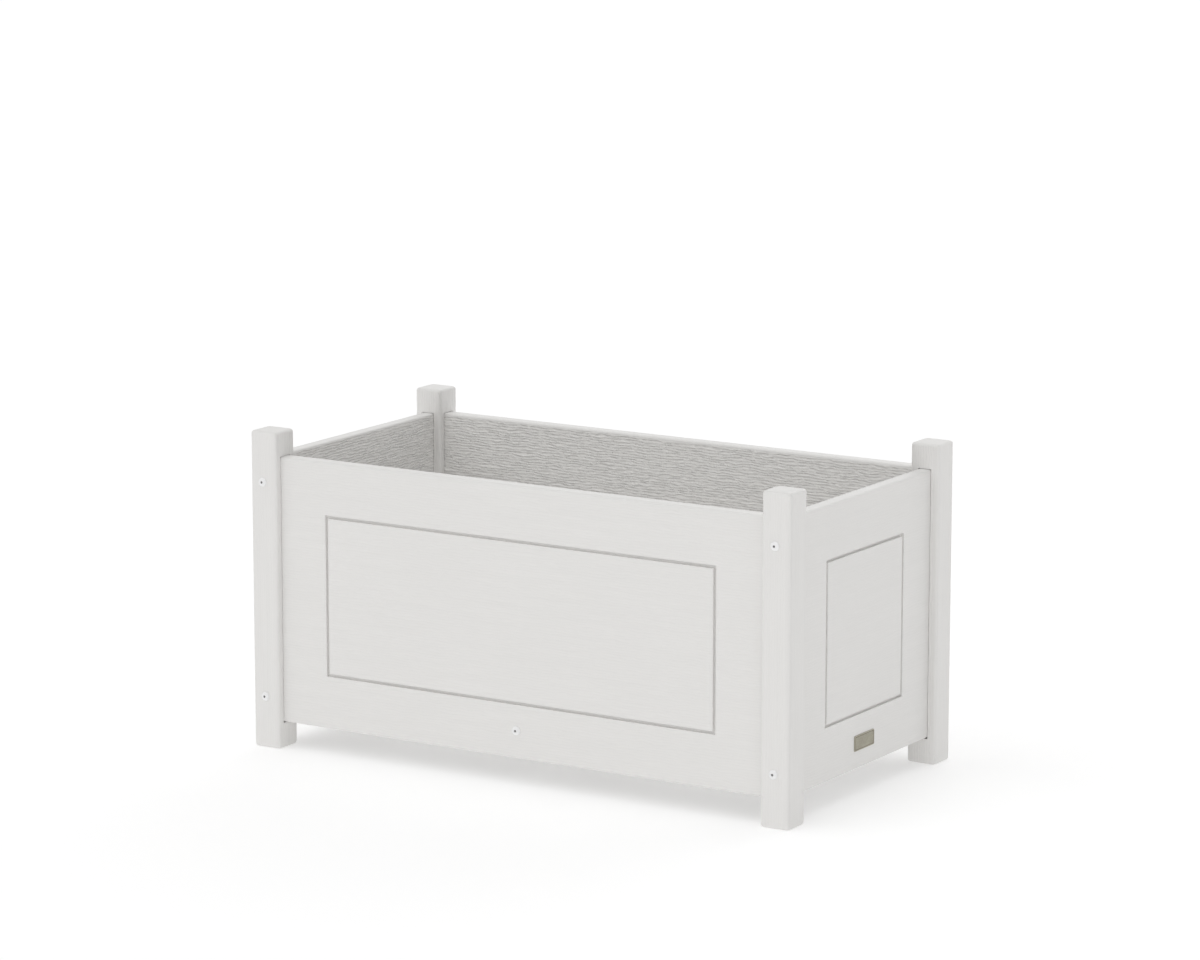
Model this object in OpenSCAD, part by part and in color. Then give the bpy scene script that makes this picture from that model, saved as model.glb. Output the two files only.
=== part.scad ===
// Rectangular versailles planter: four square corner posts, four grooved
// panels let into slots in the posts, and a slatted drainage floor.
// +Z up, +X along the long side, front face towards -Y.
// Origin: centre of the footprint, on the ground.

/* [Overall] */
// Overall length, outside of the posts
length = 876.3; // [700:0.1:1100]
// Overall width, outside of the posts
width = 457.2; // [420:0.1:600]
// Overall height, ground to top of the posts
height = 457.2; // [440:0.1:560]

/* [Posts] */
// Side of the square post
post = 44.45; // [42:0.05:50]
// Radius of the long edges of a post
post_edge_r = 4.76; // [4.2:0.01:6]
// Radius of the edges at the two ends of a post
post_end_r = 4; // [2:0.1:4]
// Depth of the slots that hold the panels
slot_depth = 9.5; // [7:0.1:9.5]
// Radius in the corners of a slot
slot_corner_r = 0.8; // [0.5:0.1:4]
// Gap between a panel and its slot, on each face and on top
slot_gap = 0.5; // [0.3:0.05:0.8]
// Gap between a panel and the lower end of its slot
slot_gap_low = 1.8; // [0.5:0.1:2]

/* [Panels] */
// Height of the lower edge of the panels
panel_z0 = 38.1; // [25:0.1:45]
// Height of the upper edge of the panels
panel_z1 = 421.1; // [380:0.1:430]
// Thickness of the front and rear panels
long_t = 22.2; // [18:0.05:22.2]
// Thickness of the left and right panels
side_t = 19.05; // [17:0.05:22.2]
// Radius of the four long edges of a panel
panel_edge_r = 3.2; // [2.5:0.1:8]
// Distance from the posts and the panel edges to the routed groove
groove_inset = 77.8; // [50:0.1:100]
// Width of the routed groove
groove_w = 4.5; // [2:0.1:8]
// Depth of the routed groove
groove_d = 4.2; // [1:0.1:5.5]

/* [Floor] */
// Height of the centre of the joist and cleats
joist_z = 77.2; // [70:0.1:80]
// Height of the joist and cleats
joist_h = 38.1; // [30:0.1:40]
// Width of the centre joist
joist_w = 38.1; // [30:0.1:60]
// Thickness of the end cleats
cleat_t = 25.4; // [20:0.1:30]
// Width of a floor board
board_w = 88.9; // [80:0.1:90]
// Thickness of a floor board
board_t = 19.05; // [15:0.05:22]
// Radius of the long edges of the boards, joist and cleats
floor_edge_r = 3; // [1:0.1:4]
// Clearance round the ends and corner notches of the floor boards
board_gap = 1.5; // [1:0.1:3]

/* [Fasteners] */
// Diameter of the domed screw heads
head_d = 13; // [10:0.1:14]
// Height of the domed screw heads
head_h = 3.5; // [2.5:0.1:4]
// Width across the flats of the hexagon socket
socket_af = 3.6; // [3:0.1:5]
// Diameter of the screw shanks
shank_d = 4.8; // [4:0.1:5.5]
// Length of the post screws under the head
post_screw_l = 76; // [60:1:90]
// Length of the joist screws under the head
joist_screw_l = 63; // [50:1:70]
// Distance from the panel edges to the post screws
post_screw_inset = 36.5; // [30:0.1:45]
// How far the post screws sit left of the post's centre, seen from outside
post_screw_shift = 1.5; // [0:0.1:2.5]

/* [Name plate] */
// Width of the bare plate
plate_w = 55.4; // [40:0.1:60]
// Height of the bare plate
plate_h = 21.8; // [15:0.1:25]
// Thickness of the plate
plate_t = 1.2; // [0.8:0.1:2]
// Width of the raised rim
plate_rim = 1.4; // [1:0.1:2]
// Place of the plate's centre along the right panel
plate_y = 0.4; // [-20:0.1:20]
// Height of the plate's centre
plate_z = 74.4; // [60:0.1:90]

/* [Hidden] */
$fn = 48;
eps = 0.01;

white = [0.93, 0.93, 0.91];
cap_white = [0.96, 0.96, 0.95];
steel = [0.62, 0.62, 0.62];
pewter = [0.50, 0.47, 0.40];

hl = length / 2;
hw = width / 2;
post_x = hl - post / 2;                  // centre of a post
post_y = hw - post / 2;
long_set = (post - long_t) / 2;          // panels sit centred in the posts
side_set = (post - side_t) / 2;
long_out = hw - long_set;                // outer face of the front and rear panels
long_in = long_out - long_t;             // inner face
side_out = hl - side_set;
side_in = side_out - side_t;
panel_h = panel_z1 - panel_z0;
tongue = slot_depth - 0.5;               // part of a panel that is inside a slot
long_half = hl - post + tongue;          // half length of the front and rear panels
side_half = hw - post + tongue;
joist_top = joist_z + joist_h / 2;
board_top = joist_top + board_t;
board_half = side_in - board_gap;        // half length of a floor board
board_space = (2 * long_in - 4 * board_w) / 5;
function board_y(i) = -long_in + board_space + board_w / 2 + (i - 1) * (board_w + board_space);
screw_z = [panel_z0 + post_screw_inset, panel_z1 - post_screw_inset];
pilot_d = shank_d + 0.1;                 // hole the thread cuts into
clear_d = shank_d + 0.6;                 // free hole under a head
small_d = 4;                             // floor and cleat screws
cleat_screw_l = 36;
floor_screw_l = 32;

// ---------- shared shapes ----------

// rectangle with round corners, centred
module round_rect(w, h, r) {
    square([w - 2 * r, h], center = true);
    square([w, h - 2 * r], center = true);
    for (sx = [-1, 1], sy = [-1, 1])
        translate([sx * (w / 2 - r), sy * (h / 2 - r)]) circle(r);
}

// section of the rounded rim at the end of a post
module rim_section() {
    square([post_edge_r - post_end_r, post_end_r]);
    translate([post_edge_r - post_end_r, 0])
        intersection() { circle(post_end_r); square(post_end_r); }
}

// rounded end of a post: slab, four rims and four corners, face to face
module post_end() {
    c = post - 2 * post_edge_r;
    translate([-c / 2, -c / 2, 0]) cube([c, c, post_end_r]);
    for (k = [0:3]) rotate([0, 0, 90 * k]) {
        translate([-c / 2, c / 2, 0]) rotate([90, 0, 90]) linear_extrude(c) rim_section();
        translate([c / 2, c / 2, 0]) rotate_extrude(angle = 90) rim_section();
    }
}

module post_blank() {
    translate([0, 0, post_end_r]) linear_extrude(height - 2 * post_end_r)
        round_rect(post, post, post_edge_r);
    translate([0, 0, height - post_end_r]) post_end();
    translate([0, 0, post_end_r]) mirror([0, 0, 1]) post_end();
}

// slot for a panel of thickness t, cut into the +X face of a post at the origin
module slot(t) {
    z0 = panel_z0 - slot_gap_low;
    z1 = panel_z1 + slot_gap;
    translate([post / 2 - slot_depth, 0, (z0 + z1) / 2]) rotate([90, 0, 90])
        linear_extrude(slot_depth + 2) round_rect(t + 2 * slot_gap, z1 - z0, slot_corner_r);
}

// post at the front left, long slot facing +X, side slot facing +Y; dx moves the screws
module corner_post(dx) {
    difference() {
        post_blank();
        slot(long_t);
        rotate([0, 0, 90]) slot(side_t);
        for (z = screw_z)
            translate([dx, -post / 2 - 1, z]) rotate([-90, 0, 0])
                cylinder(d = clear_d, h = post - slot_depth + 2);
    }
}

// panel lying along X, outer face towards -Y at y = 0
module panel_body(half, t) {
    translate([-half, t / 2, (panel_z0 + panel_z1) / 2]) rotate([90, 0, 90])
        linear_extrude(2 * half) round_rect(t, panel_h, panel_edge_r);
}

// the routed rectangle, g = half width of its centre line
module groove(g) {
    w = 2 * g + groove_w;
    z0 = panel_z0 + groove_inset;
    z1 = panel_z1 - groove_inset;
    for (z = [z0, z1])
        translate([-w / 2, -1, z - groove_w / 2]) cube([w, groove_d + 1, groove_w]);
    for (x = [-g, g])
        translate([x - groove_w / 2, -1, z0]) cube([groove_w, groove_d + 1, z1 - z0]);
}

module long_panel() {
    difference() {
        panel_body(long_half, long_t);
        groove(hl - post - groove_inset);
        translate([0, -1, joist_z]) rotate([-90, 0, 0]) cylinder(d = clear_d, h = long_t + 2);
    }
}

// side panel, with the pilot holes for the post screws in its two ends
module side_panel(plate) {
    difference() {
        panel_body(side_half, side_t);
        groove(hw - post - groove_inset);
        for (s = [-1, 1], z = screw_z)
            translate([s * (side_half + 1), side_t / 2 - s * post_screw_shift, z])
                rotate([0, -90 * s, 0]) cylinder(d = pilot_d, h = 48);
        for (x = [-120, 0, 120])
            translate([x, side_t - 14, joist_z]) rotate([-90, 0, 0])
                cylinder(d = small_d + 0.1, h = 15);
    }
}

// screw with a domed head and a hexagon socket; head towards -Y, underside at y = 0
module dome_screw(l) {
    rim = 0.6;
    dome = head_h - rim;
    r = head_d / 2 - 0.1;
    ball = (r * r + dome * dome) / (2 * dome);
    rotate([-90, 0, 0]) {
        difference() {
            union() {
                translate([0, 0, -rim]) cylinder(d = head_d, h = rim);
                intersection() {
                    translate([0, 0, -head_h + ball]) sphere(ball, $fn = 96);
                    translate([0, 0, -head_h - 1]) cylinder(d = head_d + 2, h = dome + 1.05);
                }
            }
            translate([0, 0, -head_h - 1])
                cylinder(r = socket_af / 2 / cos(30), h = 3.4, $fn = 6);
        }
        cylinder(d = shank_d, h = l - 5);
        translate([0, 0, l - 5]) cylinder(d1 = shank_d, d2 = 1, h = 5);
    }
}

// small pan head screw; head towards -Y, underside at y = 0
module pan_screw(l) {
    rotate([-90, 0, 0]) {
        difference() {
            translate([0, 0, -2.4]) cylinder(d1 = 6.4, d2 = 8, h = 2.4);
            translate([0, 0, -3.4]) cylinder(r = 1.5, h = 2.4, $fn = 4);
        }
        cylinder(d = small_d, h = l - 4);
        translate([0, 0, l - 4]) cylinder(d1 = small_d, d2 = 1, h = 4);
    }
}

// countersunk screw; head up, its top at z = 0
module flat_screw(l) {
    difference() {
        union() {
            translate([0, 0, -2.6]) cylinder(d1 = small_d, d2 = 8, h = 2.6);
            translate([0, 0, -l + 4]) cylinder(d = small_d, h = l - 4 - 2.6);
            translate([0, 0, -l]) cylinder(d1 = 1, d2 = small_d, h = 4);
        }
        translate([0, 0, -1.6]) cylinder(r = 1.5, h = 2.4, $fn = 4);
    }
}

// the places of the floor screws along a board and across it
board_screw_x = [-(side_in - cleat_t / 2), 0, side_in - cleat_t / 2];
board_screw_y = [-26, 26];

module board(i) {
    y = board_y(i);
    difference() {
        translate([-board_half, y, joist_top + board_t / 2]) rotate([90, 0, 90])
            linear_extrude(2 * board_half) round_rect(board_w, board_t, floor_edge_r);
        if (i == 1 || i == 4)
            for (s = [-1, 1])
                translate([s > 0 ? hl - post - board_gap : -hl - 1,
                           i == 1 ? -hw : hw - post - board_gap, joist_top - 1])
                    cube([post + board_gap + 1, post + board_gap, board_t + 2]);
        for (x = board_screw_x, dy = board_screw_y)
            translate([x, y + dy, joist_top - 1]) {
                cylinder(d = small_d + 0.1, h = board_t + 2);
                translate([0, 0, board_t + 1 - 2.8])
                    cylinder(d1 = small_d + 0.1, d2 = 8.4, h = 2.8 + eps);
            }
    }
}

// cleat under the ends of the boards, on the right hand side panel
module cleat() {
    l = 2 * (hw - post) - 4;
    difference() {
        translate([side_in - cleat_t / 2, l / 2, joist_z]) rotate([90, 0, 0])
            linear_extrude(l) round_rect(cleat_t, joist_h, floor_edge_r);
        for (y = [-120, 0, 120])
            translate([side_in - cleat_t - 1, y, joist_z]) rotate([0, 90, 0])
                cylinder(d = small_d + 0.4, h = cleat_t + 2);
        for (i = [1:4], dy = board_screw_y)
            translate([side_in - cleat_t / 2, board_y(i) + dy, joist_top - 14.5])
                cylinder(d = small_d + 0.1, h = 15.5);
    }
}

// ---------- sub-parts ----------

module post_front_left() color(white)
    translate([-post_x, -post_y, 0]) corner_post(-post_screw_shift);
module post_front_right() color(white)
    translate([post_x, -post_y, 0]) mirror([1, 0, 0]) corner_post(post_screw_shift);
module post_rear_right() color(white) rotate([0, 0, 180]) post_front_left();
module post_rear_left() color(white) rotate([0, 0, 180]) post_front_right();

module panel_front() color(white) translate([0, -long_out, 0]) long_panel();
module panel_rear() color(white) rotate([0, 0, 180]) translate([0, -long_out, 0]) long_panel();
module panel_right() color(white) rotate([0, 0, 90]) translate([0, -side_out, 0]) side_panel();
module panel_left() color(white) rotate([0, 0, -90]) translate([0, -side_out, 0]) side_panel();

module floor_cleat_right() color(white) cleat();
module floor_cleat_left() color(white) rotate([0, 0, 180]) cleat();
module floor_joist_centre() color(white) difference() {
    translate([0, long_in, joist_z]) rotate([90, 0, 0])
        linear_extrude(2 * long_in) round_rect(joist_w, joist_h, floor_edge_r);
    for (s = [-1, 1])
        translate([0, s * (long_in + 1), joist_z]) rotate([90 * s, 0, 0])
            cylinder(d = pilot_d, h = 48);
    for (i = [1:4], dy = board_screw_y)
        translate([0, board_y(i) + dy, joist_top - 14.5]) cylinder(d = small_d + 0.1, h = 15.5);
}

module floor_board_1() color(white) board(1);
module floor_board_2() color(white) board(2);
module floor_board_3() color(white) board(3);
module floor_board_4() color(white) board(4);

module post_screws_front() color(cap_white)
    for (s = [-1, 1], z = screw_z)
        translate([s * post_x - post_screw_shift, -hw, z]) dome_screw(post_screw_l);
module post_screws_rear() color(cap_white) rotate([0, 0, 180]) post_screws_front();

module joist_screw_front() color(cap_white)
    translate([0, -long_out, joist_z]) dome_screw(joist_screw_l);
module joist_screw_rear() color(cap_white) rotate([0, 0, 180]) joist_screw_front();

module cleat_screws_right() color(steel)
    for (y = [-120, 0, 120])
        translate([side_in - cleat_t, y, joist_z]) rotate([0, 0, -90]) pan_screw(cleat_screw_l);
module cleat_screws_left() color(steel) rotate([0, 0, 180]) cleat_screws_right();

module floor_screws() color(steel)
    for (i = [1:4], x = board_screw_x, dy = board_screw_y)
        translate([x, board_y(i) + dy, board_top - 0.1]) flat_screw(floor_screw_l);

module name_plate() color(pewter)
    translate([side_out, plate_y, plate_z]) rotate([90, 0, 90]) difference() {
        linear_extrude(plate_t) round_rect(plate_w, plate_h, 2.5);
        translate([0, 0, plate_t - 0.35]) linear_extrude(1)
            round_rect(plate_w - 2 * plate_rim, plate_h - 2 * plate_rim, 1.3);
    }

post_front_left();
post_front_right();
post_rear_left();
post_rear_right();
panel_front();
panel_rear();
panel_left();
panel_right();
floor_cleat_left();
floor_cleat_right();
floor_joist_centre();
floor_board_1();
floor_board_2();
floor_board_3();
floor_board_4();
post_screws_front();
post_screws_rear();
joist_screw_front();
joist_screw_rear();
cleat_screws_left();
cleat_screws_right();
floor_screws();
name_plate();
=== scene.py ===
import math

import bmesh
import bpy
import numpy as np
from mathutils import Matrix, Vector


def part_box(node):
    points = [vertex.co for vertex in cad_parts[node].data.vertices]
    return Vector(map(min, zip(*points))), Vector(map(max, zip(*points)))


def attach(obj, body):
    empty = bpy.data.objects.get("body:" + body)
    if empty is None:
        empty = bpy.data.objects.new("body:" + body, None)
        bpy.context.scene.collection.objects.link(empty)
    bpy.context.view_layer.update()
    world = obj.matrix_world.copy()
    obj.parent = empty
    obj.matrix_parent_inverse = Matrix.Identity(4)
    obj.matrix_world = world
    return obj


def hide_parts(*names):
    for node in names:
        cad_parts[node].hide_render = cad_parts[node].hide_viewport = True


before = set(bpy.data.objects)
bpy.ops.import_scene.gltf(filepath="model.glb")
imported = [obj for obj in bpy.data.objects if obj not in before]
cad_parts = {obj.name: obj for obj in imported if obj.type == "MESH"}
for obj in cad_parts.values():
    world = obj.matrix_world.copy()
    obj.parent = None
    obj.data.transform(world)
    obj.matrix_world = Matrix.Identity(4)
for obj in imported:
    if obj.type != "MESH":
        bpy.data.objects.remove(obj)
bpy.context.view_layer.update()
scene = bpy.context.scene
MM = 0.001

# ---------------------------------------------------------------- camera
AZ, EL, ROLL = 0.5589040744530889, 0.19141439688027526, 0.000335
FOCAL_PX, FRAME_W = 4652.341399, 1200.0
back = Vector((math.sin(AZ) * math.cos(EL), -math.cos(AZ) * math.cos(EL), math.sin(EL)))
right = Vector((math.cos(AZ), math.sin(AZ), 0.0))
up = back.cross(right)
right, up = (math.cos(ROLL) * right + math.sin(ROLL) * up, math.cos(ROLL) * up - math.sin(ROLL) * right)
cam_data = bpy.data.cameras.new("camera")
cam = bpy.data.objects.new("camera", cam_data)
scene.collection.objects.link(cam)
place = Matrix((right, up, back)).transposed().to_4x4()
place.translation = Vector((3.3961755714, -5.4303632943, 1.6342746409))
cam.matrix_world = place
cam_data.sensor_fit = "HORIZONTAL"
cam_data.sensor_width = 36.0
cam_data.lens = FOCAL_PX / FRAME_W * 36.0
cam_data.clip_start, cam_data.clip_end = 0.1, 300.0
cam_data.dof.use_dof = False
scene.camera = cam

# ---------------------------------------------------------------- sizes, in mm
POST_END_R = 4.0
ARRIS, ARRIS_POWER = 7.0, 3.1  # the posts' edges run out softly into the faces: a superellipse of this size and power
PANEL_R, FLOOR_R = 3.2, 3.0
GROOVE_INSET, GROOVE_W, GROOVE_D = 77.8, 4.5, 4.2
HEAD_R, HEAD_H, SOCKET_AF = 6.5, 3.5, 3.2
BOARD_GAP = 1.5  # between a floor board and a post, in mm
SLOT_GAP, SLOT_GAP_LOW, SLOT_R = 0.5, 1.8, 0.8


def box_mm(node):
    lo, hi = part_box(node)
    return np.array(lo) / MM, np.array(hi) / MM


# ---------------------------------------------------------------- grain
def lattice(seed):
    rs = np.random.RandomState(seed)
    p = rs.permutation(256)
    a = rs.uniform(0, 2 * math.pi, 256)
    return np.concatenate([p, p, p]), np.cos(a), np.sin(a)


def noise(x, y, seed):
    """Smooth gradient noise, about -1 to 1."""
    p, gx, gy = lattice(seed)
    x, y = np.broadcast_arrays(np.asarray(x, float), np.asarray(y, float))
    xi, yi = np.floor(x).astype(np.int64), np.floor(y).astype(np.int64)
    fx, fy = x - xi, y - yi
    sx, sy = fx * fx * fx * (fx * (fx * 6 - 15) + 10), fy * fy * fy * (fy * (fy * 6 - 15) + 10)

    def at(i, j):
        h = p[p[(xi + i) & 255] + ((yi + j) & 255)]
        return gx[h] * (fx - i) + gy[h] * (fy - j)

    a = at(0, 0) + sx * (at(1, 0) - at(0, 0))
    b = at(0, 1) + sx * (at(1, 1) - at(0, 1))
    return 1.5 * (a + sy * (b - a))


def grain(u, v, seed):
    """Embossed wood grain in mm, about -0.5 to 0.5: u runs along the fibres and v across them, both in mm."""
    w = v + 2.6 * noise(u / 80, v / 40, seed) + 0.6 * noise(u / 26, v / 12, seed + 1)
    ridges = 1 - 2.4 * np.abs(noise(u / 22, w / 4.0, seed + 2))
    fine = noise(u / 16, w / 2.7, seed + 3)
    broad = noise(u / 60, w / 9.0, seed + 4)
    depth = 0.75 + 0.45 * noise(u / 110, v / 45, seed + 5)
    return depth * (0.16 * ridges + 0.16 * fine + 0.08 * broad)


# ---------------------------------------------------------------- mesh helpers
def make_mesh(name, verts, faces, attrs=None, uv=None, angle=34):
    me = bpy.data.meshes.new(name)
    me.from_pydata(np.asarray(verts).tolist(), [], faces)
    me.update()
    if attrs:
        for key, val in attrs.items():
            me.attributes.new(key, "FLOAT", "POINT").data.foreach_set("value", np.asarray(val, np.float32))
    me.polygons.foreach_set("use_smooth", [True] * len(me.polygons))
    me.set_sharp_from_angle(angle=math.radians(angle))
    return me


def new_object(name, me, node, mats):
    o = bpy.data.objects.new(name, me)
    scene.collection.objects.link(o)
    me.materials.clear()
    for m in mats:
        me.materials.append(m)
    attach(o, "root")
    nodes = [node] if isinstance(node, str) else node
    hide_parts(*nodes)
    return o


def lines(lo, hi, step, extra=(), clear=0.6):
    """Positions from lo to hi about a step apart, with the extra ones exact."""
    extra = sorted({round(e, 4) for e in extra if lo < e < hi})
    n = max(1, int(round((hi - lo) / step)))
    base = [x for x in np.linspace(lo, hi, n + 1) if all(abs(x - e) > clear for e in extra)]
    base = [x for x in base if lo < x < hi]
    return np.array(sorted({lo, hi, *base, *extra}))


def section(height, thick, r, dv_out, dv_in, out_extra=(), edge_n=7, out_w=0.35, in_w=1.0):
    """Points round a board's section. n is outward from the outer face's plane at 0, v is up from the middle.
    Gives n, v, the normal, the relief's weight and the perimeter coordinate. It starts in the middle of the lower edge."""
    h = height / 2
    pts = []

    def arc(cn, cv, a0, a1, w):
        for a in np.linspace(a0, a1, edge_n + 1)[1:-1]:
            c, s = math.cos(math.radians(a)), math.sin(math.radians(a))
            pts.append((cn + r * c, cv + r * s, c, s, w))

    for n in np.linspace(-thick / 2, -r, 6):
        pts.append((n, -h, 0, -1, 0.12))
    arc(-r, -h + r, -90, 0, 0.12)
    for v in lines(-h + r, h - r, dv_out, out_extra):
        pts.append((0, v, 1, 0, out_w))
    arc(-r, h - r, 0, 90, 0.12)
    for n in np.linspace(-r, -thick + r, 10):
        pts.append((n, h, 0, 1, 0.12))
    arc(-thick + r, h - r, 90, 180, 0.12)
    for v in lines(-h + r, h - r, dv_in)[::-1]:
        pts.append((-thick, v, -1, 0, in_w))
    arc(-thick + r, -h + r, 180, 270, 0.12)
    for n in np.linspace(-thick + r, -thick / 2, 6)[:-1]:
        pts.append((n, -h, 0, -1, 0.12))
    a = np.array(pts, float)
    d = np.hypot(np.diff(a[:, 0], append=a[0, 0]), np.diff(a[:, 1], append=a[0, 1]))
    s = np.concatenate([[0], np.cumsum(d)[:-1]])
    # the relief dies out over a row or two beside the smooth edges
    w = np.minimum(a[:, 4], 0.5 * a[:, 4] + 0.25 * (np.roll(a[:, 4], 1) + np.roll(a[:, 4], -1)))
    w = w * np.clip(np.minimum(s, s[-1] - s) / 4, 0, 1)
    return a[:, 0], a[:, 1], a[:, 2], a[:, 3], w, s


def groove_depth(u, v, gu, gv):
    """Depth of the routed rectangle at u, v; square corners, a slightly broken upper arris."""
    e = np.abs(np.maximum(np.abs(u) - gu, np.abs(v) - gv))
    hw = GROOVE_W / 2
    return np.interp(e, [hw - 0.12, hw, hw + 0.25], [GROOVE_D, 0.15, 0.0])


def groove_lines(g):
    hw = GROOVE_W / 2
    offs = [hw + 0.25, hw, hw - 0.12, 0]
    return [s * (g + t * o) for s in (-1, 1) for o in offs for t in (-1, 1)]


def board(name, node, mats, origin, U, V, N, length, height, thick, r, seed, du=5.2, dv_out=1.35, dv_in=1.25,
          groove=None, out_w=0.35, in_w=1.0):
    """A board with embossed faces. U along it, V up its face, N out of its outer face; origin is the middle of the outer face, all in mm."""
    out_extra = groove_lines(groove[1]) if groove else ()
    n, v, nn, nv, w, s = section(height, thick, r, dv_out, dv_in, out_extra, out_w=out_w, in_w=in_w)
    u = lines(-length / 2, length / 2, du, groove_lines(groove[0]) if groove else (), clear=1.5)
    uu, ss = np.meshgrid(u, s, indexing="ij")
    n2, v2 = np.broadcast_to(n, uu.shape), np.broadcast_to(v, uu.shape)
    relief = np.minimum(w, 0.3) * grain(uu + 17.3 * seed, ss, seed)
    cut = np.zeros_like(uu)
    if groove:
        face = np.broadcast_to((nn > 0.99), uu.shape)
        cut = np.where(face, groove_depth(uu, v2, *groove), 0.0)
        relief = relief * (1 - np.clip(cut / GROOVE_D * 1.2, 0, 1))
    off = relief - 0.05 * w - cut
    pn, pv = n2 + nn * off, v2 + nv * off
    co = (np.array(origin)[None, None] + uu[..., None] * np.array(U) + pv[..., None] * np.array(V)
          + pn[..., None] * np.array(N))
    nu, ns = uu.shape
    idx = np.arange(nu * ns).reshape(nu, ns)
    a, b = idx[:-1, :], idx[1:, :]
    faces = np.stack([a, b, np.roll(b, -1, 1), np.roll(a, -1, 1)], -1).reshape(-1, 4)
    flip = np.dot(np.cross(U, V), N) < 0
    if not flip:
        faces = faces[:, ::-1]
    caps = [idx[0].tolist(), idx[-1][::-1].tolist()]
    if flip:
        caps = [c[::-1] for c in caps]
    faces = faces.tolist() + [c[::-1] for c in caps]
    attrs = {
        "relief": (relief / 0.3).ravel(),
        "cut": (cut / GROOVE_D).ravel(),
        "edge": np.broadcast_to(1 - np.clip(np.maximum(np.abs(nn), np.abs(nv)) * 3.4 - 2.4, 0, 1), uu.shape).ravel(),
        "emboss": (np.broadcast_to(w * w, uu.shape) * (1 - np.clip(cut / GROOVE_D * 1.5, 0, 1))).ravel(),
    }
    me = make_mesh(name, co.reshape(-1, 3) * MM, faces, attrs)
    outward(me)
    return new_object(name, me, node, mats)


def outward(me):
    bm = bmesh.new()
    bm.from_mesh(me)
    bmesh.ops.recalc_face_normals(bm, faces=bm.faces)
    if bm.calc_volume(signed=True) < 0:
        bmesh.ops.reverse_faces(bm, faces=bm.faces)
    bm.to_mesh(me)
    bm.free()
    me.update()


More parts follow.
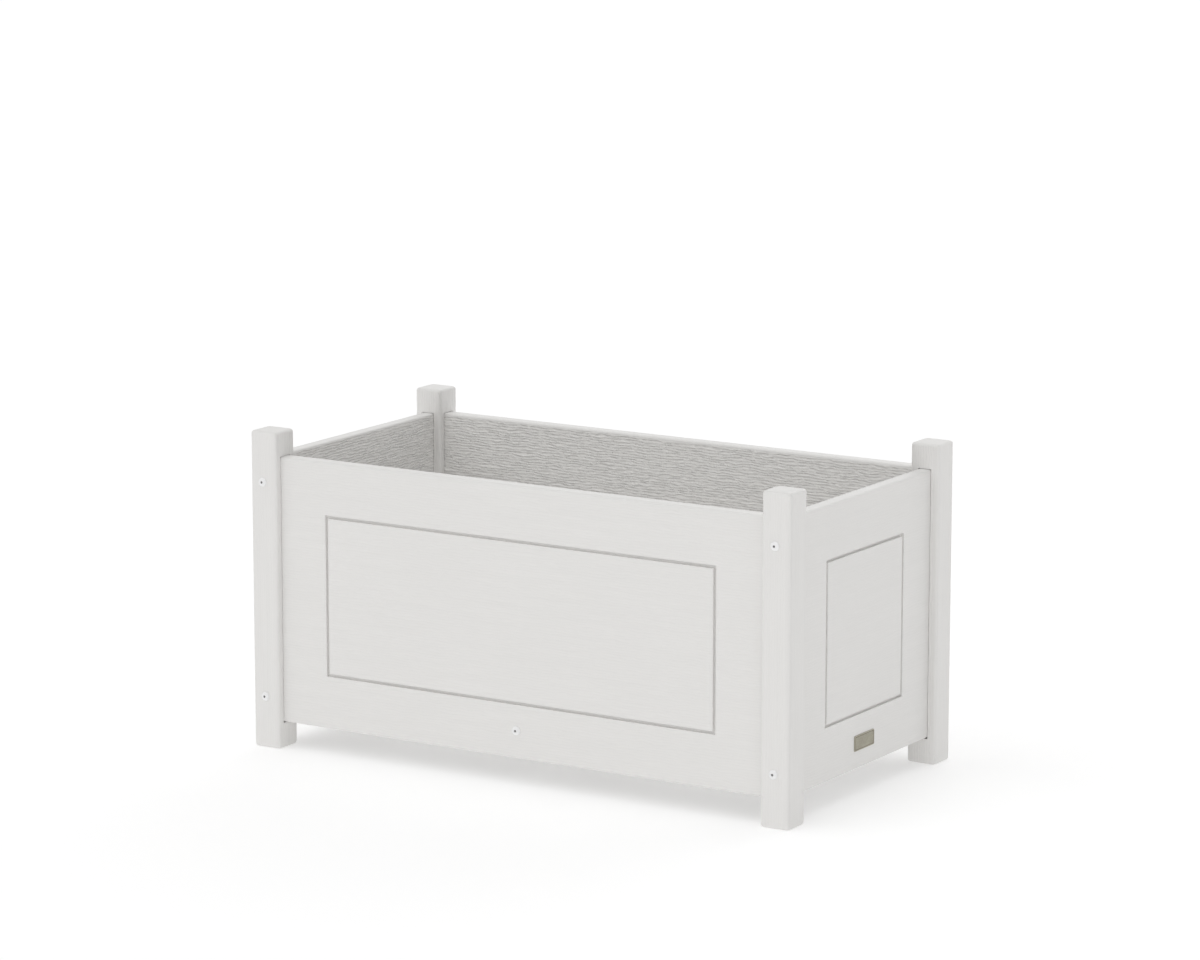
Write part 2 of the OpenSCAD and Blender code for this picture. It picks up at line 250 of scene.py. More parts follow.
def post_mesh(name, cx, cy, height, side, seam, seed, inward, dz=4.6, ds=0.95):
    """A square post with embossed faces along Z. seam turns the seam of the grain to a face with a slot."""
    half = side / 2
    flat = half - ARRIS
    q = []
    for k in range(4):
        a0 = 90 * k
        for t in np.linspace(-flat, flat, int(round(2 * flat / ds)) + 1):
            q.append((half, t, 1, 0, 1.0, a0))
        for a in np.linspace(0, 90, 13)[1:-1]:
            c, s = math.cos(math.radians(a)), math.sin(math.radians(a))
            e = 2 / ARRIS_POWER
            nx, ny = c ** (2 - e), s ** (2 - e)
            q.append((flat + ARRIS * c ** e, flat + ARRIS * s ** e, nx / math.hypot(nx, ny), ny / math.hypot(nx, ny), 0.5, a0))
    q = np.array(q)
    # the two faces towards the inside are embossed deeper than the outer two
    deep = np.array([0.55 if ((int(a0) + seam) % 360) in inward else 0.35 for a0 in q[:, 5]])
    q[:, 4] = np.where(q[:, 4] > 0.9, deep, 0.12)
    rot = np.radians(q[:, 5] + seam)
    c, s = np.cos(rot), np.sin(rot)
    px, py = q[:, 0] * c - q[:, 1] * s, q[:, 0] * s + q[:, 1] * c
    nx, ny = q[:, 2] * c - q[:, 3] * s, q[:, 2] * s + q[:, 3] * c
    w = q[:, 4].copy()
    for _ in range(2):
        w = 0.5 * w + 0.25 * (np.roll(w, 1) + np.roll(w, -1))
    d = np.hypot(np.diff(px, append=px[0]), np.diff(py, append=py[0]))
    arc = np.concatenate([[0], np.cumsum(d)[:-1]])
    # start in the middle of the first face
    k0 = int(np.argmin(np.abs(q[:, 1]) + 100 * (q[:, 5] != 0)))
    roll = lambda x: np.roll(x, -k0)
    px, py, nx, ny, w = map(roll, (px, py, nx, ny, w))
    arc = np.roll(arc, -k0) - arc[k0]
    arc = np.where(arc < 0, arc + d.sum(), arc)
    fade = np.clip(np.minimum(arc, d.sum() - arc) / 3.0, 0, 1)
    w = w * fade
    zs = [POST_END_R * (1 - math.sin(math.radians(t))) for t in (90, 78, 64, 50, 36, 22, 10)]
    zs = np.array(zs + list(lines(POST_END_R, height - POST_END_R, dz)) + [height - z for z in zs[::-1]])
    inset = np.zeros_like(zs)
    low, high = zs < POST_END_R, zs > height - POST_END_R
    inset[low] = POST_END_R - np.sqrt(np.maximum(0, POST_END_R**2 - (POST_END_R - zs[low]) ** 2))
    inset[high] = POST_END_R - np.sqrt(np.maximum(0, POST_END_R**2 - (zs[high] - height + POST_END_R) ** 2))
    zz, aa = np.meshgrid(zs, arc, indexing="ij")
    relief = grain(zz + 31.7 * seed, aa, seed) * w[None, :] * 0.8
    relief = relief * np.clip(1 - inset / 1.2, 0, 1)[:, None]
    off = relief - 0.3 * w[None, :] * np.clip(1 - inset / 1.2, 0, 1)[:, None]
    shrink = (1 - inset / half)[:, None]  # the ends draw in towards the middle
    x, y = cx + px * shrink + nx * off, cy + py * shrink + ny * off
    verts = np.stack([x, y, zz], -1)
    nz, ns = zz.shape
    idx = np.arange(nz * ns).reshape(nz, ns)
    faces = np.stack([idx[:-1], np.roll(idx, -1, 1)[:-1], np.roll(idx, -1, 1)[1:], idx[1:]], -1).reshape(-1, 4).tolist()
    verts = verts.reshape(-1, 3)
    relief_a, edge_a, end_a = (relief / 0.3).ravel(), np.broadcast_to(
        1 - np.clip(np.maximum(np.abs(nx), np.abs(ny)) * 3.4 - 2.4, 0, 1), zz.shape).ravel(), np.zeros(nz * ns)
    edge_a = np.maximum(edge_a, np.broadcast_to((inset > 0.05)[:, None] * 1.0, zz.shape).ravel())
    # the two ends: rings that close to the middle, with a faint sawn unevenness
    for ring, z, sgn in ((idx[0], 0.0, -1), (idx[-1], height, 1)):
        prev = ring
        rim = verts[ring]
        for k in (0.86, 0.66, 0.44, 0.22):
            cur = np.arange(ns) + len(verts)
            co = rim.copy()
            co[:, 0], co[:, 1] = cx + (co[:, 0] - cx) * k, cy + (co[:, 1] - cy) * k
            if sgn > 0:
                co[:, 2] -= 0.09 + 0.07 * noise(co[:, 0] / 6, co[:, 1] / 6, seed + 9)
            verts = np.concatenate([verts, co])
            faces += (np.stack([prev, np.roll(prev, -1), np.roll(cur, -1), cur], -1)[:, ::-sgn or 1]).tolist() if sgn < 0 else \
                np.stack([prev, np.roll(prev, -1), np.roll(cur, -1), cur], -1).tolist()
            prev = cur
            relief_a = np.concatenate([relief_a, np.zeros(ns)])
            edge_a = np.concatenate([edge_a, np.zeros(ns)])
            end_a = np.concatenate([end_a, np.ones(ns)])
        # a fan closes the last ring, so that no face is bent
        mid = len(verts)
        verts = np.concatenate([verts, [[cx, cy, verts[prev, 2].mean()]]])
        faces += np.stack([prev, np.roll(prev, -1), np.full(ns, mid)], -1).tolist()
        relief_a, edge_a, end_a = (np.concatenate([q1, [q2]]) for q1, q2 in ((relief_a, 0.0), (edge_a, 0.0), (end_a, 1.0)))
    emboss = np.zeros(len(verts))
    emboss[:nz * ns] = np.broadcast_to((w * w)[None, :] * np.clip(1 - inset / 1.2, 0, 1)[:, None], zz.shape).ravel()
    me = make_mesh(name, verts * MM, faces, {"relief": relief_a, "edge": edge_a, "emboss": emboss})
    outward(me)
    return me


def prism(name, rect, depth, place_fn, r):
    """A closed prism with a round-cornered section, to cut with."""
    (a0, a1), (b0, b1) = rect
    pts = []
    for ca, cb, t0 in ((a1 - r, b1 - r, 0), (a0 + r, b1 - r, 90), (a0 + r, b0 + r, 180), (a1 - r, b0 + r, 270)):
        for t in np.linspace(t0, t0 + 90, 7):
            pts.append((ca + r * math.cos(math.radians(t)), cb + r * math.sin(math.radians(t))))
    n = len(pts)
    verts = [place_fn(a, b, d) for d in depth for a, b in pts]
    faces = [[i, (i + 1) % n, n + (i + 1) % n, n + i] for i in range(n)] + [list(range(n))[::-1], list(range(n, 2 * n))]
    me = make_mesh(name, np.array(verts) * MM, faces)
    outward(me)
    o = bpy.data.objects.new(name, me)
    scene.collection.objects.link(o)
    return o


def lathe(profile, n=48):
    """Verts and faces of a profile [(r, z, hexagonal)] turned about Z; it opens and closes on the axis."""
    verts, faces = [], []
    for r, z, six in profile:
        for k in range(n):
            a = 2 * math.pi * k / n
            rr = r / math.cos((a + math.pi / 6) % (math.pi / 3) - math.pi / 6) if six else r
            verts.append((rr * math.cos(a), rr * math.sin(a), z))
    m = len(profile)
    for j in range(m - 1):
        for k in range(n):
            k2 = (k + 1) % n
            faces.append([j * n + k, j * n + k2, (j + 1) * n + k2, (j + 1) * n + k])
    faces.append(list(range(n))[::-1])
    faces.append([(m - 1) * n + k for k in range(n)])
    return np.array(verts), faces


def outward_each(me):
    bm = bmesh.new()
    bm.from_mesh(me)
    bmesh.ops.recalc_face_normals(bm, faces=bm.faces)
    bm.to_mesh(me)
    bm.free()
    me.update()


def solids(name, parts):
    """One object of several closed shapes, each (verts in mm, faces)."""
    verts, faces, o = [], [], 0
    for v, f in parts:
        verts.append(np.array(v, float))
        faces += [[i + o for i in face] for face in f]
        o += len(v)
    me = make_mesh(name, np.concatenate(verts) * MM, faces)
    outward_each(me)
    obj = bpy.data.objects.new(name, me)
    scene.collection.objects.link(obj)
    return obj


def block(x, y, z):
    """Verts and faces of a box between two values on each axis."""
    verts = [(a, b, c) for a in x for b in y for c in z]
    return verts, [(0, 1, 3, 2), (4, 6, 7, 5), (0, 4, 5, 1), (2, 3, 7, 6), (0, 2, 6, 4), (1, 5, 7, 3)]


def tidy(me):
    """Close up what a cut leaves: slivers, doubled points and loose scraps."""
    bm = bmesh.new()
    bm.from_mesh(me)
    bmesh.ops.remove_doubles(bm, verts=bm.verts, dist=15e-6)
    bmesh.ops.dissolve_degenerate(bm, edges=bm.edges, dist=15e-6)
    bmesh.ops.triangulate(bm, faces=bm.faces)
    bmesh.ops.dissolve_degenerate(bm, edges=bm.edges, dist=15e-6)
    loose = [v for v in bm.verts if not v.link_faces]
    bmesh.ops.delete(bm, geom=loose, context="VERTS")
    bm.to_mesh(me)
    bm.free()
    me.update()


def cut(obj, cutters):
    """obj's mesh less the cutters, which are removed."""
    for c in cutters:
        m = obj.modifiers.new("cut", "BOOLEAN")
        m.operation, m.solver, m.object = "DIFFERENCE", "EXACT", c
    bpy.context.view_layer.update()
    dg = bpy.context.evaluated_depsgraph_get()
    me = bpy.data.meshes.new_from_object(obj.evaluated_get(dg), depsgraph=dg)
    obj.modifiers.clear()
    old = obj.data
    obj.data = me
    bpy.data.meshes.remove(old)
    for c in cutters:
        cm = c.data
        bpy.data.objects.remove(c)
        bpy.data.meshes.remove(cm)
    tidy(me)
    me.polygons.foreach_set("use_smooth", [True] * len(me.polygons))
    me.set_sharp_from_angle(angle=math.radians(34))
    return me


# ---------------------------------------------------------------- materials
class Tree:
    """A few short names for building node trees."""

    def __init__(self, name):
        self.mat = bpy.data.materials.new(name)
        self.mat.use_nodes = True
        self.t = self.mat.node_tree
        self.bsdf = self.t.nodes["Principled BSDF"]

    def node(self, kind, **props):
        n = self.t.nodes.new(kind)
        for k, v in props.items():
            setattr(n, k, v)
        return n

    def link(self, a, b):
        self.t.links.new(a, b)

    def coords(self, scale):
        tc = self.node("ShaderNodeTexCoord")
        mp = self.node("ShaderNodeMapping")
        mp.inputs["Scale"].default_value = scale
        self.link(tc.outputs["Object"], mp.inputs["Vector"])
        return mp.outputs["Vector"]

    def noise(self, scale, detail=3.0, rough=0.5, distort=0.0):
        n = self.node("ShaderNodeTexNoise")
        n.inputs["Scale"].default_value = 1.0
        n.inputs["Detail"].default_value = detail
        n.inputs["Roughness"].default_value = rough
        n.inputs["Distortion"].default_value = distort
        self.link(self.coords(scale), n.inputs["Vector"])
        return n.outputs["Fac"]

    def noise_of(self, vector, scale, detail=2.0, rough=0.5, out="Fac"):
        mp = self.node("ShaderNodeMapping")
        mp.inputs["Scale"].default_value = scale
        self.link(vector, mp.inputs["Vector"])
        n = self.node("ShaderNodeTexNoise")
        n.inputs["Scale"].default_value = 1.0
        n.inputs["Detail"].default_value = detail
        n.inputs["Roughness"].default_value = rough
        self.link(mp.outputs["Vector"], n.inputs["Vector"])
        return n.outputs[out]

    def vector(self, op, a, b):
        n = self.node("ShaderNodeVectorMath", operation=op)
        for i, x in enumerate((a, b)):
            if isinstance(x, tuple):
                n.inputs[i].default_value = x
            else:
                self.link(x, n.inputs[i])
        return n.outputs[0]

    def attr(self, name):
        n = self.node("ShaderNodeAttribute", attribute_name=name)
        return n.outputs["Fac"]

    def range(self, value, a, b, c, d, clamp=True):
        n = self.node("ShaderNodeMapRange", clamp=clamp)
        for i, x in zip((1, 2, 3, 4), (a, b, c, d)):
            n.inputs[i].default_value = x
        self.link(value, n.inputs[0])
        return n.outputs[0]

    def math(self, op, a, b):
        n = self.node("ShaderNodeMath", operation=op)
        for i, x in enumerate((a, b)):
            if isinstance(x, (int, float)):
                n.inputs[i].default_value = x
            else:
                self.link(x, n.inputs[i])
        return n.outputs[0]

    def mix(self, fac, a, b, blend="MIX"):
        n = self.node("ShaderNodeMix", data_type="RGBA", blend_type=blend)
        for i, x in ((0, fac), (6, a), (7, b)):
            if isinstance(x, (int, float)):
                n.inputs[i].default_value = x
            elif isinstance(x, tuple):
                n.inputs[i].default_value = (*x, 1.0)
            else:
                self.link(x, n.inputs[i])
        return n.outputs[2]

    def bump(self, height, distance, strength=1.0, normal=None):
        n = self.node("ShaderNodeBump")
        if isinstance(strength, (int, float)):
            n.inputs["Strength"].default_value = strength
        else:
            self.link(strength, n.inputs["Strength"])
        n.inputs["Distance"].default_value = distance
        self.link(height, n.inputs["Height"])
        if normal is not None:
            self.link(normal, n.inputs["Normal"])
        return n.outputs["Normal"]


def stretched(axis, along, across):
    """Mapping scale for a pattern that is `along` metres long and `across` metres wide."""
    return tuple(1 / along if i == axis else 1 / across for i in range(3))


ALBEDO, EMBOSS = 0.80, 0.00092
LINE, WANDER = 0.0040, 10.0  # metres between the fibres, and how far they wander, in radians
LOW, CREST = 0.15, 0.78  # where a fibre starts to rise and where it is highest, as parts of the distance between two
UNDER_SHADE, SHADE = 0.45, 0.01  # how strong the painted shade is on the underside of the fibres and in the hollows of the relief


def white(value):
    """A grey level in the lumber's faintly warm white."""
    return (value, value * 0.988, value * 0.968)


def hdpe(name, axis):
    """White through-coloured plastic lumber, embossed; the grain runs along the axis 0, 1 or 2."""
    t = Tree(name)
    # fibres are lines a few millimetres apart across the grain, which wander, and fade in and out along it;
    # each rises slowly and breaks off steeply on its upper side
    tc = t.node("ShaderNodeTexCoord").outputs["Object"]
    dot = t.node("ShaderNodeVectorMath", operation="DOT_PRODUCT")
    t.link(tc, dot.inputs[0])
    dot.inputs[1].default_value = tuple(0.0 if i == axis else 1.0 for i in range(3))
    wander = t.noise_of(tc, stretched(axis, 0.024, 0.009), 1.0, 0.5)
    phase = t.math("ADD", t.math("MULTIPLY", dot.outputs["Value"], 2 * math.pi / LINE), t.math("MULTIPLY", wander, WANDER))
    turn = t.math("FRACT", t.math("MULTIPLY", phase, 0.5 / math.pi), 0.0)
    line = t.math("MINIMUM", t.range(turn, LOW, CREST, 0.0, 1.0), t.range(turn, CREST, 1.0, 1.0, 0.0))
    fade = t.range(t.noise_of(tc, stretched(axis, 0.010, 0.0040), 1.0, 0.5), 0.41, 0.53, 0.34, 1.0)
    ridge = t.math("MULTIPLY", line, fade)
    emboss, relief, edge = t.attr("emboss"), t.attr("relief"), t.attr("edge")
    streak = t.noise(stretched(axis, 0.11, 0.0065), 4.0, 0.55, 0.4)
    cloud = t.noise((9.0, 9.0, 9.0), 3.0, 0.5)
    pores = t.noise((900.0, 900.0, 900.0), 2.0, 0.5)
    base = t.mix(t.range(streak, 0.32, 0.68, 0, 1), white(ALBEDO * 0.985), white(ALBEDO * 1.012))
    base = t.mix(t.range(cloud, 0.35, 0.65, 0.0, 0.6), base, white(ALBEDO * 0.99))
    # painted light: the embossed faces, most of all the inner ones, are lightened to make up for the shade their bump
    # casts
    base = t.mix(emboss, base, white(ALBEDO * 1.10))
    # painted shade darkens the undersides of the fibres, a painted highlight lightens their crests, and the edges are
    # polished
    under_shade = t.math("MULTIPLY", t.math("MULTIPLY", t.range(turn, CREST - 0.52, CREST - 0.36, 0.0, UNDER_SHADE), fade), emboss)
    base = t.mix(under_shade, base, white(ALBEDO * 0.70))
    # painted shade: the hollows of the relief are darkened
    base = t.mix(t.math("MULTIPLY", t.range(relief, -0.9, 0.3, SHADE, 0.0), emboss), base, white(ALBEDO * 0.45))
    # painted highlight: the upper crests of the fibres are lightened towards white
    crest_highlight = t.math("MULTIPLY", t.math("MULTIPLY", t.range(turn, CREST - 0.20, CREST - 0.12, 0.0, 1.0), fade), emboss)
    base = t.mix(crest_highlight, base, white(0.96))
    base = t.mix(t.math("MULTIPLY", edge, 0.35), base, white(ALBEDO * 1.03))
    t.link(base, t.bsdf.inputs["Base Color"])
    rough = t.range(ridge, 0.0, 1.0, 0.56, 0.46)
    rough = t.math("ADD", rough, t.range(cloud, 0.35, 0.65, -0.03, 0.03))
    t.link(rough, t.bsdf.inputs["Roughness"])
    n = t.bump(pores, 0.00005, 0.5)
    n = t.bump(ridge, EMBOSS, emboss, n)
    t.link(n, t.bsdf.inputs["Normal"])
    t.bsdf.inputs["Specular IOR Level"].default_value = 0.4
    return t.mat


def painted(name):
    t = Tree(name)
    spots = t.noise((420.0, 420.0, 420.0), 2.0, 0.5)
    cloud = t.noise((60.0, 60.0, 60.0), 2.0, 0.5)
    base = t.mix(t.range(cloud, 0.35, 0.65, 0, 1), (0.87, 0.87, 0.87), (0.90, 0.90, 0.905))
    t.link(base, t.bsdf.inputs["Base Color"])
    t.link(t.range(spots, 0.3, 0.7, 0.28, 0.42), t.bsdf.inputs["Roughness"])
    t.link(t.bump(spots, 0.00005, 0.4), t.bsdf.inputs["Normal"])
    t.bsdf.inputs["Specular IOR Level"].default_value = 0.5
    return t.mat


def dark_socket(name):
    t = Tree(name)
    spots = t.noise((1500.0, 1500.0, 1500.0), 2.0, 0.5)
    t.link(t.mix(t.range(spots, 0.3, 0.7, 0, 1), (0.34, 0.335, 0.33), (0.42, 0.415, 0.41)), t.bsdf.inputs["Base Color"])
    t.link(t.range(spots, 0.3, 0.7, 0.5, 0.7), t.bsdf.inputs["Roughness"])
    t.bsdf.inputs["Metallic"].default_value = 0.0
    return t.mat


def steel(name):
    t = Tree(name)
    turned = t.noise((220.0, 220.0, 2600.0), 3.0, 0.5)
    cloud = t.noise((300.0, 300.0, 300.0), 2.0, 0.5)
    t.link(t.mix(t.range(turned, 0.3, 0.7, 0, 1), (0.50, 0.50, 0.49), (0.66, 0.66, 0.65)), t.bsdf.inputs["Base Color"])
    t.link(t.range(cloud, 0.3, 0.7, 0.26, 0.42), t.bsdf.inputs["Roughness"])
    t.link(t.bump(turned, 0.00003, 0.4), t.bsdf.inputs["Normal"])
    t.bsdf.inputs["Metallic"].default_value = 1.0
    return t.mat


def plate_metal(name):
    """Antiqued metal: brushed along the plate, darker in its sunk field, rubbed bright on the rim."""
    t = Tree(name)
    brush = t.noise((2600.0, 60.0, 2600.0), 3.0, 0.6)
    cloud = t.noise((130.0, 130.0, 130.0), 4.0, 0.6)
    base = t.mix(t.range(cloud, 0.34, 0.66, 0, 1), (0.27, 0.252, 0.195), (0.36, 0.338, 0.27))
    base = t.mix(t.range(brush, 0.3, 0.7, 0.0, 0.5), base, (0.42, 0.40, 0.32))
    base = t.mix(t.math("MULTIPLY", t.attr("cut"), 0.8), base, (0.09, 0.08, 0.055))
    base = t.mix(t.math("MULTIPLY", t.attr("edge"), 0.6), base, (0.52, 0.49, 0.40))
    t.link(base, t.bsdf.inputs["Base Color"])
    t.link(t.range(brush, 0.3, 0.7, 0.50, 0.34), t.bsdf.inputs["Roughness"])
    t.link(t.bump(brush, 0.00004, 0.6), t.bsdf.inputs["Normal"])
    t.bsdf.inputs["Metallic"].default_value = 0.55
    return t.mat


WHITE = {a: hdpe("white_lumber_" + "xyz"[a], a) for a in (0, 1, 2)}
CAP, SOCKET, STEEL, PLATE = painted("white_paint"), dark_socket("socket_dark"), steel("stainless"), plate_metal("antique_plate")

# ---------------------------------------------------------------- panels
X, Y, Z = (1.0, 0, 0), (0, 1.0, 0), (0, 0, 1.0)
neg = lambda v: tuple(-c for c in v)
post_lo, post_hi = box_mm("post_front_left")
side = post_hi[0] - post_lo[0]
inner_x, inner_y = -post_hi[0], -post_hi[1]  # the inner faces of the posts
walls = {}
for name, U, N, seed in (("panel_front", X, neg(Y), 11), ("panel_rear", neg(X), Y, 23),
                         ("panel_right", Y, X, 37), ("panel_left", neg(Y), neg(X), 53)):
    lo, hi = box_mm(name)
    long_side = abs(U[0]) > 0.5
    ax = 0 if long_side else 1
    length, thick, height = hi[ax] - lo[ax], hi[1 - ax] - lo[1 - ax], hi[2] - lo[2]
    origin = (lo + hi) / 2 + np.array(N) * thick / 2
    inner = inner_x if long_side else inner_y
    walls[name] = (lo, hi)
    board(name + "_board", name, [WHITE[ax]], origin, U, Z, N, length, height, thick, PANEL_R, seed, du=5.8, dv_out=1.4, dv_in=1.3,
          groove=(inner - GROOVE_INSET, height / 2 - GROOVE_INSET))

# ---------------------------------------------------------------- posts
for name, sx, sy, seed in (("post_front_left", -1, -1, 71), ("post_front_right", 1, -1, 83),
                           ("post_rear_left", -1, 1, 97), ("post_rear_right", 1, 1, 113)):
    lo, hi = box_mm(name)
    cx, cy = (lo[0] + hi[0]) / 2, (lo[1] + hi[1]) / 2
    me = post_mesh(name + "_lumber", cx, cy, hi[2], side, 0 if sx < 0 else 180, seed,
                   (0 if sx < 0 else 180, 90 if sy < 0 else 270))
    o = new_object(name + "_lumber", me, name, [WHITE[2]])
    long_wall = walls["panel_front" if sy < 0 else "panel_rear"]
    side_wall = walls["panel_left" if sx < 0 else "panel_right"]
    z = (long_wall[0][2] - SLOT_GAP_LOW, long_wall[1][2] + SLOT_GAP)
    depth_x = sorted((cx - sx * (side / 2 - 9.5), cx - sx * (side / 2 + 2)))
    depth_y = sorted((cy - sy * (side / 2 - 9.5), cy - sy * (side / 2 + 2)))
    a = prism("slot_a", ((long_wall[0][1] - SLOT_GAP, long_wall[1][1] + SLOT_GAP), z), depth_x,
              lambda p, q, d: (d, p, q), SLOT_R)
    b = prism("slot_b", ((side_wall[0][0] - SLOT_GAP, side_wall[1][0] + SLOT_GAP), z), depth_y,
              lambda p, q, d: (p, d, q), SLOT_R)
    cut(o, [a, b])
    o.data.materials.clear()
    o.data.materials.append(WHITE[2])

# ---------------------------------------------------------------- floor
# the two outer boards are notched round the posts, and each board is countersunk for its screws
screw_lo, screw_hi = box_mm("floor_screws")
hole, hole_faces = lathe([(2.05, -30, 0), (2.05, -2.75, 0), (4.2, 0.05, 0), (5.4, 1.2, 0)], 32)
for i in range(1, 5):
    name = f"floor_board_{i}"
    lo, hi = box_mm(name)
    length, wide, thick = hi[0] - lo[0], hi[1] - lo[1], hi[2] - lo[2]
    mid_y = (lo[1] + hi[1]) / 2
    o = board(name + "_lumber", name, [WHITE[0]], ((lo[0] + hi[0]) / 2, mid_y, hi[2]),
              X, neg(Y), Z, length, wide, thick, FLOOR_R, 131 + 7 * i, du=6.0, dv_out=1.35, dv_in=2.2, out_w=0.6, in_w=0.3)
    parts = [(hole + np.array([x, mid_y + dy, hi[2]]), hole_faces)
             for x in (screw_lo[0] + 4, 0, screw_hi[0] - 4) for dy in (-26, 26)]
    if i in (1, 4):
        sy = -1 if i == 1 else 1
        for sx in (-1, 1):
            parts.append(block(sorted((sx * (inner_x - BOARD_GAP), sx * (inner_x + 60))),
                               sorted((sy * (inner_y - BOARD_GAP), sy * (inner_y + 60))), (lo[2] - 5, hi[2] + 5)))
    cut(o, [solids("board_cuts", parts)])
    o.data.materials.clear()
    o.data.materials.append(WHITE[0])
for name, seed in (("floor_cleat_left", 171), ("floor_cleat_right", 173), ("floor_joist_centre", 175)):
    lo, hi = box_mm(name)
    s = -1 if "left" in name else 1
    board(name + "_lumber", name, [WHITE[1]],
          (lo[0] if s > 0 else hi[0], (lo[1] + hi[1]) / 2, (lo[2] + hi[2]) / 2),
          Y, Z, (-s, 0, 0), hi[1] - lo[1], hi[2] - lo[2], hi[0] - lo[0], FLOOR_R, seed, du=6.0, dv_out=2.2, dv_in=2.2, out_w=0.4, in_w=0.4)


# ---------------------------------------------------------------- screws
def dome_profile(length):
    """From the tip of the shank to the bottom of the socket, in mm; z is 0 under the head and rises out of it."""
    r, rim, h = HEAD_R, 1.0, HEAD_H
    ball = (r * r + (h - rim) ** 2) / (2 * (h - rim))
    top = lambda rr: h - ball + math.sqrt(ball * ball - rr * rr)
    p = [(0.5, -length, 0), (2.4, -length + 5, 0), (2.4, -0.5, 0), (2.7, -0.15, 0), (r - 0.3, -0.15, 0), (r - 0.07, 0.05, 0), (r, 0.35, 0), (r, 0.75, 0), (r - 0.06, 1.0, 0)]
    for rr in (0.95, 0.88, 0.79, 0.69, 0.59, 0.49, 0.39):
        p.append((r * rr, top(r * rr), 0))
    k = SOCKET_AF / 2
    p += [(k + 0.22, top(k + 0.4), 1), (k + 0.06, top(k + 0.3) - 0.12, 1), (k, top(k + 0.3) - 0.4, 1), (k - 0.04, 1.3, 1), (k * 0.6, 1.0, 0), (0.3, 0.85, 0)]
    return p


def screw_group(name, node, mats, places, direction, profile, dark_from=None, angle=40):
    """The same screw at each place, its head out along direction."""
    base, faces = lathe(profile)
    n = 48
    rot = Vector((0, 0, 1)).rotation_difference(Vector(direction)).to_matrix()
    verts, allf, mat_i = [], [], []
    for k, pos in enumerate(places):
        spin = Matrix.Rotation(0.4 + 1.9 * k, 3, "Z")
        co = np.array([rot @ (spin @ Vector(v)) + Vector(pos) for v in base])
        o = len(verts) * len(base)
        verts.append(co)
        allf += [[i + o for i in f] for f in faces]
        for j in range(len(profile) - 1):
            mat_i += [1 if dark_from is not None and j >= dark_from else 0] * n
        mat_i += [0, 1 if dark_from is not None else 0]
    me = make_mesh(name, np.concatenate(verts) * MM, allf, angle=angle)
    outward_each(me)
    obj = new_object(name, me, node, mats)
    me.polygons.foreach_set("material_index", mat_i)
    return obj


dome76, dome63 = dome_profile(76), dome_profile(63)
dark = len(dome76) - 5
for name, sgn in (("post_screws_front", -1), ("post_screws_rear", 1)):
    lo, hi = box_mm(name)
    y = lo[1] + HEAD_H if sgn < 0 else hi[1] - HEAD_H
    pts = [(x, y, z) for x in (lo[0] + HEAD_R, hi[0] - HEAD_R) for z in (lo[2] + HEAD_R, hi[2] - HEAD_R)]
    screw_group(name + "_set", name, [CAP, SOCKET], pts, (0, sgn, 0), dome76, dark)
for name, sgn in (("joist_screw_front", -1), ("joist_screw_rear", 1)):
    lo, hi = box_mm(name)
    y = lo[1] + HEAD_H if sgn < 0 else hi[1] - HEAD_H
    screw_group(name + "_set", name, [CAP, SOCKET], [((lo[0] + hi[0]) / 2, y, (lo[2] + hi[2]) / 2)], (0, sgn, 0), dome63, dark)

for name in ("cleat_screws_left", "cleat_screws_right", "floor_screws"):
    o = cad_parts[name]
    o.data.materials.clear()
    o.data.materials.append(STEEL)


# ---------------------------------------------------------------- name plate
def plate():
    lo, hi = box_mm("name_plate")
    w, h, t = hi[1] - lo[1], hi[2] - lo[2], hi[0] - lo[0]
    cy, cz, x0 = (lo[1] + hi[1]) / 2, (lo[2] + hi[2]) / 2, lo[0]
    rings = [  # inset from the outline, height, edge, sunk
        (0.0, 0.0, 0, 0), (0.0, t - 0.30, 0, 0), (0.10, t - 0.12, 1, 0), (0.32, t, 1, 0), (1.10, t, 1, 0), (1.35, t - 0.10, 0.5, 0.4),
        (1.55, t - 0.40, 0, 1), (1.95, t - 0.42, 0, 1), (2.25, t - 0.22, 0, 0.5), (2.6, t - 0.16, 0, 0), (4.0, t - 0.14, 0, 0),
        (6.0, t - 0.12, 0, 0), (8.0, t - 0.11, 0, 0), (9.6, t - 0.10, 0, 0)]
    verts, edge, sunk, n = [], [], [], 0
    for inset, z, e, s in rings:
        a, b, r = w / 2 - inset, h / 2 - inset, max(0.3, 2.5 - inset * 0.8)
        r = min(r, a, b)
        pts = []
        for sa, sb, t0 in ((1, 1, 0), (-1, 1, 90), (-1, -1, 180), (1, -1, 270)):
            for d in np.linspace(t0, t0 + 90, 8):
                pts.append((sa * (a - r) + r * math.cos(math.radians(d)), sb * (b - r) + r * math.sin(math.radians(d))))
        n = len(pts)
        verts += [(x0 + z, cy + p, cz + q) for p, q in pts]
        edge += [e] * n
        sunk += [s] * n
    faces = [[j * n + k, j * n + (k + 1) % n, (j + 1) * n + (k + 1) % n, (j + 1) * n + k] for j in range(len(rings) - 1) for k in range(n)]
    faces += [list(range(n))[::-1], [(len(rings) - 1) * n + k for k in range(n)]]
    me = make_mesh("name_plate_metal", np.array(verts) * MM, faces, {"edge": edge, "cut": sunk}, angle=50)
    outward(me)
    new_object("name_plate_metal", me, "name_plate", [PLATE])


plate()

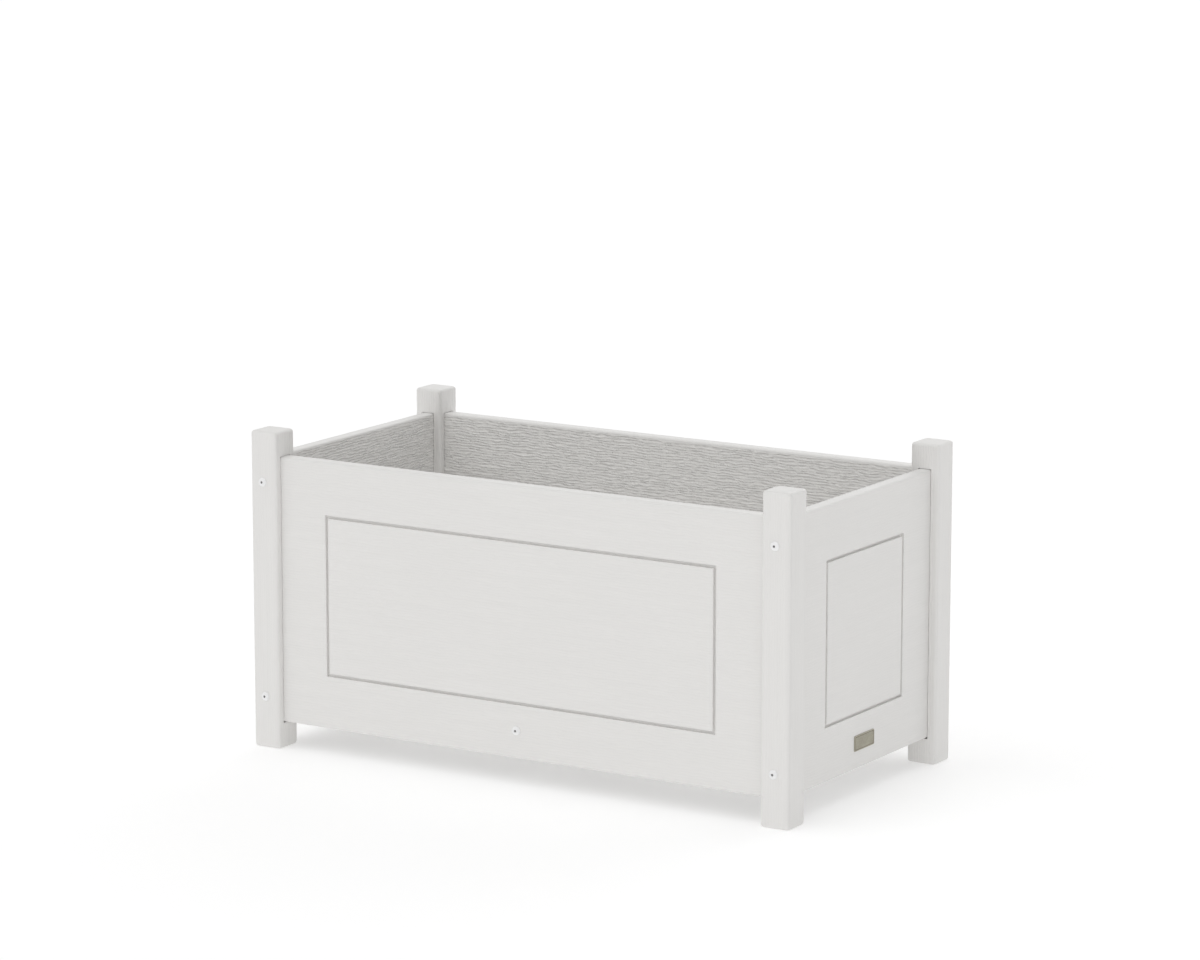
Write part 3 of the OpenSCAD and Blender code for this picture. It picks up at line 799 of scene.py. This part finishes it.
# ---------------------------------------------------------------- floor and light
FLOOR_ALBEDO, FLOOR_GLOW = 0.80, 0.31
ground = bpy.data.meshes.new("ground")
ground.from_pydata([(-60, -60, 0), (60, -60, 0), (60, 60, 0), (-60, 60, 0)], [], [(0, 1, 2, 3)])
g = Tree("ground_white")
g.bsdf.inputs["Base Color"].default_value = (FLOOR_ALBEDO,) * 3 + (1,)
g.bsdf.inputs["Roughness"].default_value = 0.9
g.bsdf.inputs["Specular IOR Level"].default_value = 0.0
g.bsdf.inputs["Emission Color"].default_value = (1, 1, 1, 1)
g.bsdf.inputs["Emission Strength"].default_value = FLOOR_GLOW
ground.materials.append(g.mat)
ground_obj = bpy.data.objects.new("ground", ground)
scene.collection.objects.link(ground_obj)

# soft light from all round: each lobe is (heading, height) in degrees, how narrow it is, and its strength
LOBES = [(90, 10, 3, 1.815), (-135, 10, 3, 0.067), (-135, 45, 4, 1.143), (-45, 10, 3, 0.885), (0, 90, 12, 1.473)]
EVEN = 0.075
world = bpy.data.worlds.new("studio")
scene.world = world
world.use_nodes = True
wt = world.node_tree
direction = wt.nodes.new("ShaderNodeTexCoord").outputs["Generated"]
total = None
for heading, height, narrow, strength in LOBES:
    dot = wt.nodes.new("ShaderNodeVectorMath")
    dot.operation = "DOT_PRODUCT"
    wt.links.new(direction, dot.inputs[0])
    h, e = math.radians(heading), math.radians(height)
    dot.inputs[1].default_value = (math.cos(h) * math.cos(e), math.sin(h) * math.cos(e), math.sin(e))
    value = dot.outputs["Value"]
    for op, b in (("MAXIMUM", 0.0), ("POWER", narrow), ("MULTIPLY", strength)):
        n = wt.nodes.new("ShaderNodeMath")
        n.operation = op
        wt.links.new(value, n.inputs[0])
        n.inputs[1].default_value = b
        value = n.outputs[0]
    if total is not None:
        n = wt.nodes.new("ShaderNodeMath")
        n.operation = "ADD"
        wt.links.new(total, n.inputs[0])
        wt.links.new(value, n.inputs[1])
        value = n.outputs[0]
    total = value
n = wt.nodes.new("ShaderNodeMath")
n.operation = "ADD"
wt.links.new(total, n.inputs[0])
n.inputs[1].default_value = EVEN
total = n.outputs[0]
wt.nodes["Background"].inputs[0].default_value = (1, 1, 1, 1)
wt.links.new(total, wt.nodes["Background"].inputs[1])
scene.view_settings.view_transform = "Standard"
scene.view_settings.look = "None"
